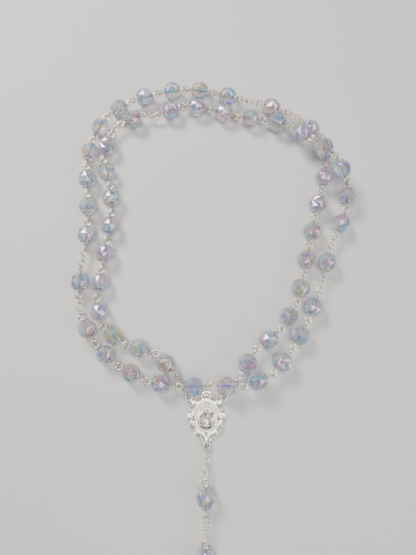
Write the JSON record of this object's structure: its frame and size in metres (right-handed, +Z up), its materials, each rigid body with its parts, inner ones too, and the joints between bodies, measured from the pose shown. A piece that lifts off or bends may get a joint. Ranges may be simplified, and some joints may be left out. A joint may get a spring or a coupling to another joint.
{
  "type": "rosary",
  "caption": "Five-decade rosary with faceted crystal beads on silver wire pins, chain links, an openwork centrepiece and a pendant drop with a crucifix.",
  "frame": {"origin": "middle of the centrepiece's back face, on the surface the rosary lies on", "axes": "+Z up off the surface, +Y from the centrepiece into the loop, +X to the right with the relief facing up"},
  "size_m": [0.1247, 0.3084, 0.0159],
  "materials": {
    "crystal": "polished, with a rainbow coating",
    "silvered_wire": "bright, slightly warm",
    "antique_casting": "antique silver with darkened recesses"
  },
  "bodies": {
    "centre": {"centrepiece": "antique_casting"},
    "left_lower": {"left_ear_chain": "silvered_wire", "decade_1_lower_pins": "silvered_wire", "decade_1_lower_beads": "crystal"},
    "left_upper": {"decade_1_upper_pins": "silvered_wire", "decade_1_upper_beads": "crystal", "chain_before_father_1": "silvered_wire", "father_1_pin": "silvered_wire", "chain_after_father_1": "silvered_wire", "decade_2_pins": "silvered_wire", "decade_2_beads": "crystal", "chain_before_father_2": "silvered_wire", "father_2_pin": "silvered_wire"},
    "father_1_bead": {"father_1_bead": "crystal"},
    "father_2_bead": {"father_2_bead": "crystal"},
    "lower_row": {"chain_after_father_2": "silvered_wire", "decade_3_pins": "silvered_wire", "decade_3_beads": "crystal", "chain_before_father_3": "silvered_wire", "father_3_pin": "silvered_wire"},
    "father_3_bead": {"father_3_bead": "crystal"},
    "right_upper": {"chain_after_father_3": "silvered_wire", "decade_4_pins": "silvered_wire", "decade_4_beads": "crystal", "chain_before_father_4": "silvered_wire", "father_4_pin": "silvered_wire", "chain_after_father_4": "silvered_wire", "decade_5_upper_pins": "silvered_wire", "decade_5_upper_beads": "crystal"},
    "father_4_bead": {"father_4_bead": "crystal"},
    "right_lower": {"decade_5_lower_pins": "silvered_wire", "decade_5_lower_beads": "crystal", "right_ear_chain": "silvered_wire"},
    "drop_link_1": {"drop_link_1": "silvered_wire"},
    "drop_link_2": {"drop_link_2": "silvered_wire"},
    "drop_link_3": {"drop_link_3": "silvered_wire"},
    "drop_link_4": {"drop_link_4": "silvered_wire"},
    "drop_link_5": {"drop_link_5": "silvered_wire"},
    "drop_father_pin": {"drop_father_pin": "silvered_wire"},
    "drop_father_bead": {"drop_father_bead": "crystal"},
    "drop_link_6": {"drop_link_6": "silvered_wire"},
    "drop_link_7": {"drop_link_7": "silvered_wire"},
    "drop_link_8": {"drop_link_8": "silvered_wire"},
    "drop_link_9": {"drop_link_9": "silvered_wire"},
    "hail_1_pin": {"hail_1_pin": "silvered_wire"},
    "hail_1_bead": {"hail_1_bead": "crystal"},
    "hail_2_pin": {"hail_2_pin": "silvered_wire"},
    "hail_2_bead": {"hail_2_bead": "crystal"},
    "hail_3_pin": {"hail_3_pin": "silvered_wire"},
    "hail_3_bead": {"hail_3_bead": "crystal"},
    "drop_link_10": {"drop_link_10": "silvered_wire"},
    "drop_link_11": {"drop_link_11": "silvered_wire"},
    "drop_link_12": {"drop_link_12": "silvered_wire"},
    "last_father_pin": {"last_father_pin": "silvered_wire"},
    "last_father_bead": {"last_father_bead": "crystal"},
    "cross_link_1": {"cross_link_1": "silvered_wire"},
    "cross_link_2": {"cross_link_2": "silvered_wire"},
    "cross_link_3": {"cross_link_3": "silvered_wire"},
    "cross": {"cross": "antique_casting", "corpus": "antique_casting"}
  },
  "joints": [
    {"name": "loop_lift", "type": "hinge", "parent": "centre", "child": "left_lower", "pos_m": [0, 0.00915, 0.00145], "axis": [1, 0, 0], "range_deg": [0, 40]},
    {"name": "fold_1", "type": "hinge", "parent": "left_lower", "child": "left_upper", "pos_m": [-0.0452, 0.06274, 0.004], "axis": [0.9993, -0.0364, 0], "range_deg": [0, 45]},
    {"name": "fold_2", "type": "hinge", "parent": "left_upper", "child": "lower_row", "pos_m": [0.0508, 0.05925, 0.004], "axis": [0.9993, -0.0364, 0], "range_deg": [-45, 0]},
    {"name": "fold_3", "type": "hinge", "parent": "lower_row", "child": "right_upper", "pos_m": [-0.0544, 0.06308, 0.004], "axis": [0.9993, -0.0364, 0], "range_deg": [0, 45]},
    {"name": "fold_4", "type": "hinge", "parent": "right_upper", "child": "right_lower", "pos_m": [0.0422, 0.05956, 0.004], "axis": [0.9993, -0.0364, 0], "range_deg": [-45, 0]},
    {"name": "father_1_spin", "type": "hinge", "parent": "left_upper", "child": "father_1_bead", "pos_m": [-0.03387, 0.1324, 0.00405], "axis": [0.9267, 0.3758, 0.0079], "continuous": true},
    {"name": "father_2_spin", "type": "hinge", "parent": "left_upper", "child": "father_2_bead", "pos_m": [0.05251, 0.06512, 0.004], "axis": [-0.2654, -0.9641, 0], "continuous": true},
    {"name": "father_3_spin", "type": "hinge", "parent": "lower_row", "child": "father_3_bead", "pos_m": [-0.05461, 0.05657, 0.004], "axis": [0.0315, 0.9995, 0], "continuous": true},
    {"name": "father_4_spin", "type": "hinge", "parent": "right_upper", "child": "father_4_bead", "pos_m": [0.03011, 0.13848, 0.004], "axis": [0.9442, -0.3295, 0], "continuous": true},
    {"name": "drop_link_1_lift", "type": "hinge", "parent": "centre", "child": "drop_link_1", "pos_m": [0, -0.01255, 0.00145], "axis": [-1, 0, 0], "range_deg": [0, 30]},
    {"name": "drop_link_2_swing", "type": "hinge", "parent": "drop_link_1", "child": "drop_link_2", "pos_m": [0, -0.0147, 0.00199], "axis": [0, 0, 1], "range_deg": [-35, 35]},
    {"name": "drop_link_3_swing", "type": "hinge", "parent": "drop_link_2", "child": "drop_link_3", "pos_m": [0, -0.01652, 0.0023], "axis": [0, 0, -1], "range_deg": [-35, 35]},
    {"name": "drop_link_4_swing", "type": "hinge", "parent": "drop_link_3", "child": "drop_link_4", "pos_m": [0, -0.01954, 0.003], "axis": [0, 0, 1], "range_deg": [-35, 35]},
    {"name": "drop_link_5_swing", "type": "hinge", "parent": "drop_link_4", "child": "drop_link_5", "pos_m": [0, -0.02125, 0.0036], "axis": [0, 0, -1], "range_deg": [-35, 35]},
    {"name": "drop_father_pin_lift", "type": "hinge", "parent": "drop_link_5", "child": "drop_father_pin", "pos_m": [0, -0.02341, 0.004], "axis": [-1, 0, 0], "range_deg": [0, 30]},
    {"name": "drop_father_bead_spin", "type": "hinge", "parent": "drop_father_pin", "child": "drop_father_bead", "pos_m": [0, -0.03061, 0.004], "axis": [0, -1, 0], "continuous": true},
    {"name": "drop_link_6_swing", "type": "hinge", "parent": "drop_father_pin", "child": "drop_link_6", "pos_m": [0, -0.03781, 0.004], "axis": [0, 0, 1], "range_deg": [-35, 35]},
    {"name": "drop_link_7_swing", "type": "hinge", "parent": "drop_link_6", "child": "drop_link_7", "pos_m": [0, -0.03938, 0.00393], "axis": [0, 0, -1], "range_deg": [-35, 35]},
    {"name": "drop_link_8_swing", "type": "hinge", "parent": "drop_link_7", "child": "drop_link_8", "pos_m": [0, -0.04247, 0.00379], "axis": [0, 0, 1], "range_deg": [-35, 35]},
    {"name": "drop_link_9_swing", "type": "hinge", "parent": "drop_link_8", "child": "drop_link_9", "pos_m": [0, -0.044, 0.00397], "axis": [0, 0, -1], "range_deg": [-35, 35]},
    {"name": "hail_1_pin_lift", "type": "hinge", "parent": "drop_link_9", "child": "hail_1_pin", "pos_m": [0, -0.04616, 0.004], "axis": [-1, 0, 0], "range_deg": [0, 30]},
    {"name": "hail_1_bead_spin", "type": "hinge", "parent": "hail_1_pin", "child": "hail_1_bead", "pos_m": [0, -0.05336, 0.00401], "axis": [0, -1, 0.0011], "continuous": true},
    {"name": "hail_2_pin_swing", "type": "hinge", "parent": "hail_1_pin", "child": "hail_2_pin", "pos_m": [0, -0.06056, 0.00402], "axis": [0, 0, 1], "range_deg": [-35, 35]},
    {"name": "hail_2_bead_spin", "type": "hinge", "parent": "hail_2_pin", "child": "hail_2_bead", "pos_m": [0, -0.0665, 0.00401], "axis": [0, -1, -0.0005], "continuous": true},
    {"name": "hail_3_pin_swing", "type": "hinge", "parent": "hail_2_pin", "child": "hail_3_pin", "pos_m": [0, -0.0737, 0.00401], "axis": [0, 0, -1], "range_deg": [-35, 35]},
    {"name": "hail_3_bead_spin", "type": "hinge", "parent": "hail_3_pin", "child": "hail_3_bead", "pos_m": [0, -0.07963, 0.004], "axis": [0, -1, -0.0006], "continuous": true},
    {"name": "drop_link_10_swing", "type": "hinge", "parent": "hail_3_pin", "child": "drop_link_10", "pos_m": [0, -0.08683, 0.004], "axis": [0, 0, 1], "range_deg": [-35, 35]},
    {"name": "drop_link_11_swing", "type": "hinge", "parent": "drop_link_10", "child": "drop_link_11", "pos_m": [0, -0.08825, 0.004], "axis": [0, 0, -1], "range_deg": [-35, 35]},
    {"name": "drop_link_12_swing", "type": "hinge", "parent": "drop_link_11", "child": "drop_link_12", "pos_m": [0, -0.09135, 0.004], "axis": [0, 0, 1], "range_deg": [-35, 35]},
    {"name": "last_father_pin_lift", "type": "hinge", "parent": "drop_link_12", "child": "last_father_pin", "pos_m": [0, -0.09375, 0.004], "axis": [-1, 0, 0], "range_deg": [0, 30]},
    {"name": "last_father_bead_spin", "type": "hinge", "parent": "last_father_pin", "child": "last_father_bead", "pos_m": [0, -0.1, 0.004], "axis": [0, -1, 0], "continuous": true},
    {"name": "cross_link_1_swing", "type": "hinge", "parent": "last_father_pin", "child": "cross_link_1", "pos_m": [0, -0.10626, 0.00412], "axis": [0, 0, -1], "range_deg": [-35, 35]},
    {"name": "cross_link_2_swing", "type": "hinge", "parent": "cross_link_1", "child": "cross_link_2", "pos_m": [0, -0.10919, 0.00309], "axis": [0, 0, 1], "range_deg": [-35, 35]},
    {"name": "cross_link_3_swing", "type": "hinge", "parent": "cross_link_2", "child": "cross_link_3", "pos_m": [0, -0.1105, 0.00201], "axis": [0, 0, -1], "range_deg": [-35, 35]},
    {"name": "cross_lift", "type": "hinge", "parent": "cross_link_3", "child": "cross", "pos_m": [0, -0.1127, 0.00145], "axis": [-1, 0, 0], "range_deg": [0, 30]}
  ],
  "couplings": [
    {"joint": "fold_2", "follows": "fold_1", "ratio": -1},
    {"joint": "fold_3", "follows": "fold_1", "ratio": 1},
    {"joint": "fold_4", "follows": "fold_1", "ratio": -1}
  ]
}
